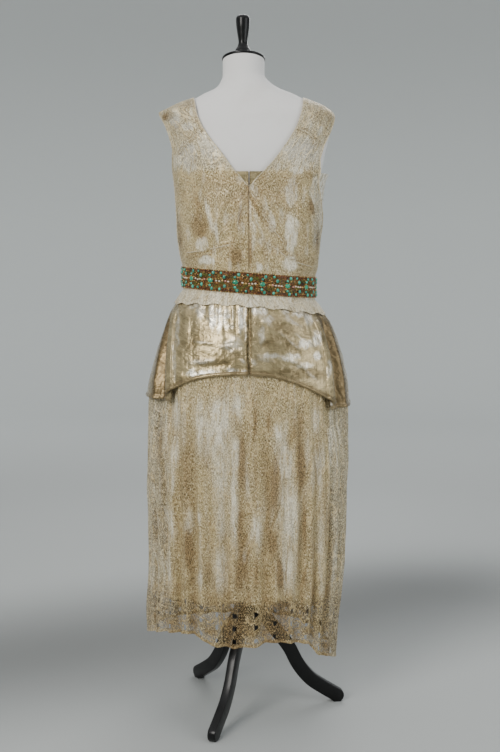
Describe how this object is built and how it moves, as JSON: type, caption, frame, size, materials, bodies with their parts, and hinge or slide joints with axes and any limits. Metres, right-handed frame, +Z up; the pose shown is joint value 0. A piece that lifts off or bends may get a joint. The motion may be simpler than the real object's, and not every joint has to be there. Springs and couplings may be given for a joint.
{
  "type": "robe de style dress on a limbless dress form with a tripod stand",
  "caption": "Sleeveless lace evening dress over a satin slip, with a jewelled belt and draped satin peplum, shown on a limbless dress form and tripod stand.",
  "frame": {"origin": "on the floor, under the middle of the whole object's bounding box", "axes": "+Z up, +Y towards the wearer's front, -Y towards the wearer's back with the deep V neckline, +X towards the wearer's right side"},
  "size_m": [0.4586, 0.3907, 1.539],
  "materials": {
    "gold_lace": "metallic gold lace, satin sheen",
    "ivory_satin": "glossy satin",
    "copper_beads": "close-set glass beads, glossy",
    "white_form_cover": "matte cloth cover",
    "black_lacquer": "black lacquer, glossy"
  },
  "bodies": {
    "root": {"lace_bodice_back_left": "gold_lace", "lace_bodice_back_right": "gold_lace", "lace_bodice_front": "gold_lace", "lace_skirt_back": "gold_lace", "lace_skirt_front": "gold_lace", "slip_back_left": "ivory_satin", "slip_back_right": "ivory_satin", "slip_front": "ivory_satin", "slip_skirt_back": "ivory_satin", "slip_skirt_front": "ivory_satin", "peplum_back_left": "ivory_satin", "peplum_back_right": "ivory_satin", "peplum_front": "ivory_satin", "belt": "copper_beads", "form_torso": "white_form_cover", "neck_cap": "black_lacquer", "finial": "black_lacquer", "post": "black_lacquer", "leg_front": "black_lacquer", "leg_back_left": "black_lacquer", "leg_right": "black_lacquer"}
  },
  "joints": []
}
